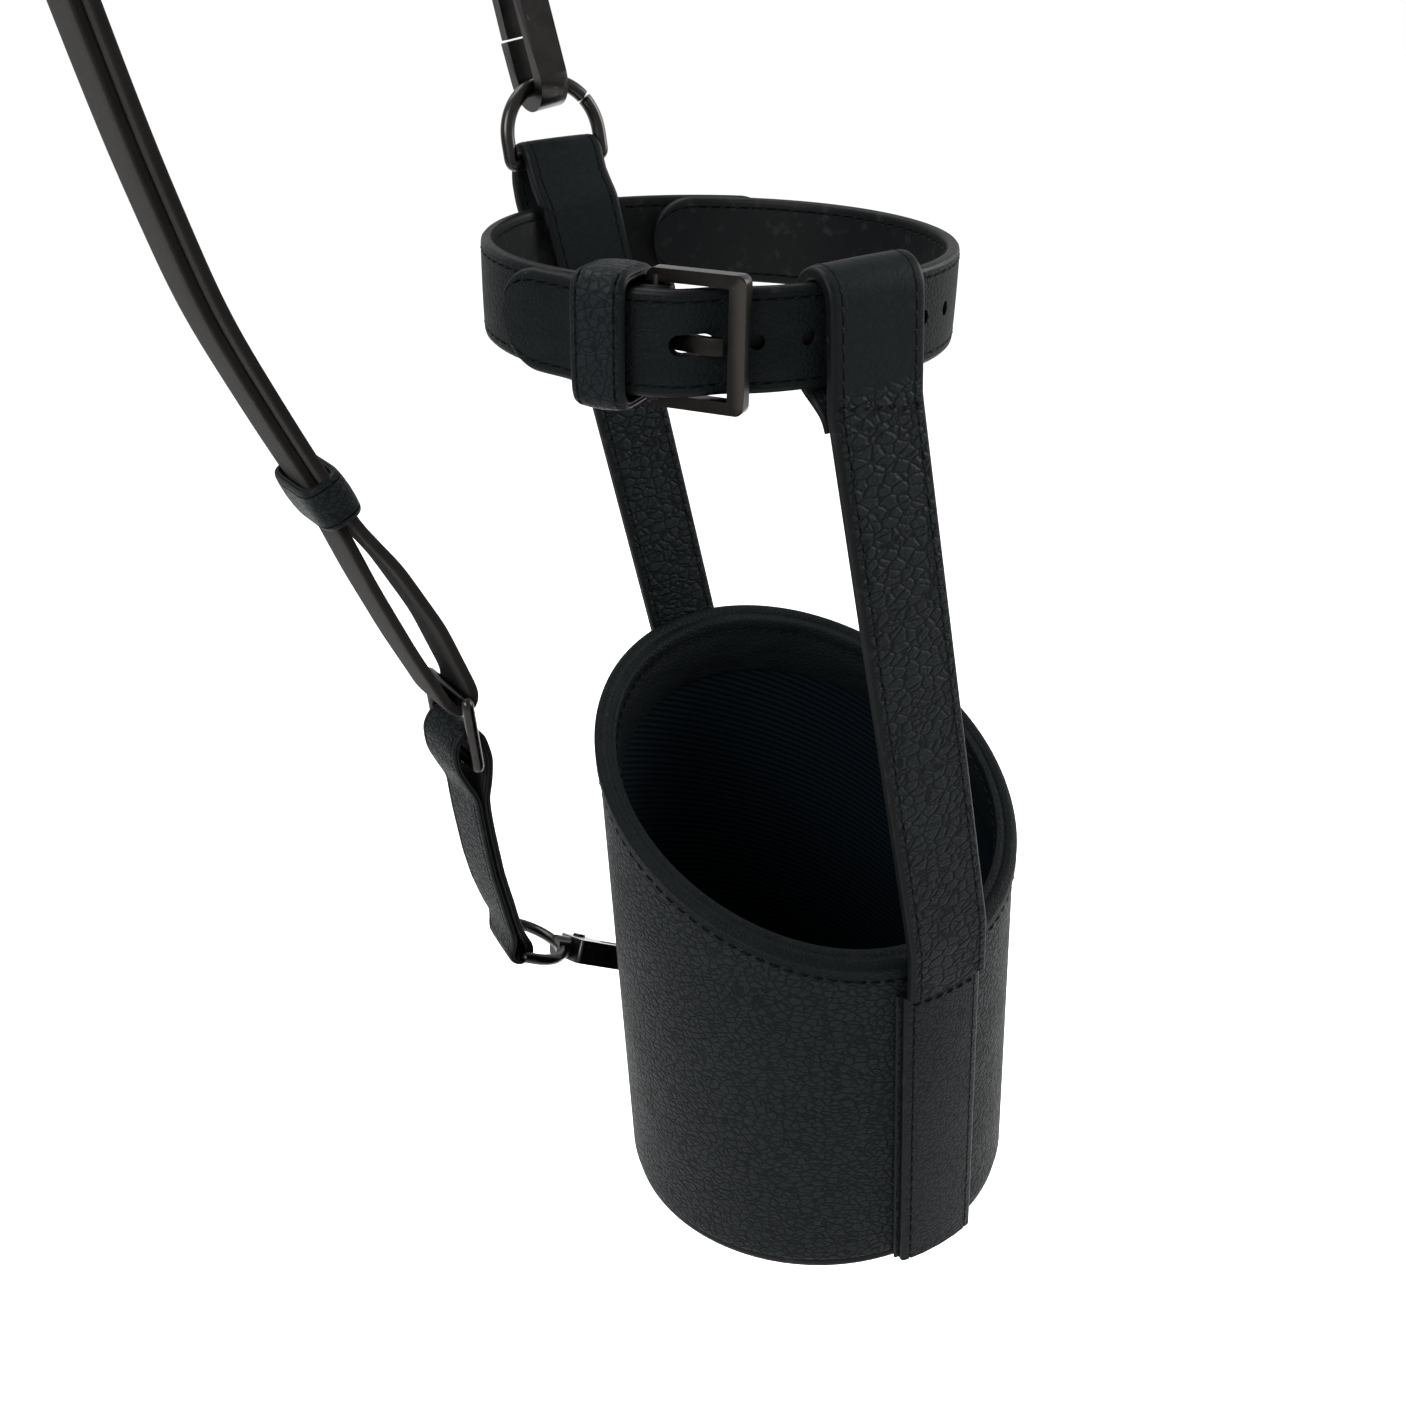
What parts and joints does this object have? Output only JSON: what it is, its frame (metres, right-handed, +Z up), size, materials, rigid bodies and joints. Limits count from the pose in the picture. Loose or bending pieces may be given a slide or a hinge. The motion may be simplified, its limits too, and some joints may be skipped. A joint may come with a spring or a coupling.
{
  "type": "leather bottle holder",
  "caption": "Slant-mouthed black leather bottle cup with straps to a buckled neck collar and a doubled suede-backed shoulder strap on swivel snap hooks.",
  "frame": {"origin": "centre of the cup's underside", "axes": "+Z up through the cup to the collar, the front strap and its band on -Y, the back strap and shoulder strap on +Y"},
  "size_m": [0.1485, 0.1138, 0.3741],
  "materials": {
    "leather": "pebbled, semi-matte",
    "suede": "suede, matte",
    "lining": "twill, matte",
    "board": "matte",
    "gunmetal": "satin gunmetal",
    "black_nickel": "polished black nickel"
  },
  "bodies": {
    "holder": {"base_leather": "leather", "base_board": "board", "lining_floor": "lining", "cup_shell": "leather", "cup_board": "board", "cup_lining": "lining", "rim_facing": "leather", "rim_binding": "leather", "front_band": "leather", "back_band": "leather", "front_strap": "leather", "back_strap": "leather", "collar_buckle_belt": "leather", "collar_tongue_belt": "leather", "rear_ring_tab": "leather", "lower_tab": "leather", "shoulder_strap": "suede", "lower_hook_eye": "black_nickel", "upper_hook_eye": "black_nickel"},
    "buckle_frame": {"buckle_frame": "gunmetal"},
    "buckle_prong": {"buckle_prong": "gunmetal"},
    "collar_keeper": {"collar_keeper": "leather"},
    "strap_keeper": {"strap_keeper": "leather"},
    "upper_ring": {"upper_d_ring": "black_nickel"},
    "rear_ring": {"rear_d_ring": "black_nickel"},
    "slider": {"slider_ring": "black_nickel"},
    "lower_hook": {"lower_hook_body": "black_nickel", "lower_hook_pin": "black_nickel"},
    "lower_gate": {"lower_hook_gate": "black_nickel"},
    "upper_hook": {"upper_hook_body": "black_nickel", "upper_hook_pin": "black_nickel"},
    "upper_gate": {"upper_hook_gate": "black_nickel"}
  },
  "joints": [
    {"name": "buckle_frame_swing", "type": "hinge", "parent": "holder", "child": "buckle_frame", "pos_m": [-0.04065, -0.01968, 0.19408], "axis": [-0.0539, 0.0409, -0.9977], "range_deg": [0, 18]},
    {"name": "buckle_prong_swing", "type": "hinge", "parent": "holder", "child": "buckle_prong", "pos_m": [-0.04065, -0.01968, 0.19408], "axis": [-0.0539, 0.0409, -0.9977], "range_deg": [0, 1.5]},
    {"name": "collar_keeper_turn", "type": "hinge", "parent": "holder", "child": "collar_keeper", "pos_m": [-0.0105, 0.0084, 0.1936], "axis": [0.0539, -0.0409, 0.9977], "range_deg": [-7, 0.2]},
    {"name": "strap_keeper_slide", "type": "slide", "parent": "holder", "child": "strap_keeper", "axis": [-0.3998, 0, 0.9166], "range_m": [-0.0015, 0.005]},
    {"name": "upper_ring_rock", "type": "hinge", "parent": "holder", "child": "upper_ring", "pos_m": [-0.018, 0.0498, 0.2115], "axis": [1, 0, 0], "range_deg": [-2, 2]},
    {"name": "rear_ring_rock", "type": "hinge", "parent": "holder", "child": "rear_ring", "pos_m": [0, 0.04745, 0.012], "axis": [1, 0, 0], "range_deg": [-2, 2]},
    {"name": "slider_ring_rock", "type": "hinge", "parent": "holder", "child": "slider", "pos_m": [-0.0518, 0.0572, 0.1085], "axis": [0, 1, 0], "range_deg": [-2.5, 2.5]},
    {"name": "lower_hook_swivel", "type": "hinge", "parent": "holder", "child": "lower_hook", "pos_m": [-0.00429, 0.04967, 0.01808], "axis": [-0.866, 0.171, 0.4698], "range_deg": [-6, 6]},
    {"name": "lower_gate_open", "type": "hinge", "parent": "lower_hook", "child": "lower_gate", "pos_m": [-0.0281, 0.05775, 0.02977], "axis": [-0.5, -0.2962, -0.8138], "range_deg": [0, 20], "stiffness_Nm_per_rad": 0.02, "springref_deg": -17.19},
    {"name": "upper_hook_swivel", "type": "hinge", "parent": "holder", "child": "upper_hook", "pos_m": [-0.0186, 0.05112, 0.22032], "axis": [-0.1219, 0.1467, 0.9816], "range_deg": [-6, 6]},
    {"name": "upper_gate_open", "type": "hinge", "parent": "upper_hook", "child": "upper_gate", "pos_m": [-0.02195, 0.05871, 0.24678], "axis": [-0.9925, -0.018, -0.1205], "range_deg": [0, 20], "stiffness_Nm_per_rad": 0.02, "springref_deg": -17.19}
  ]
}
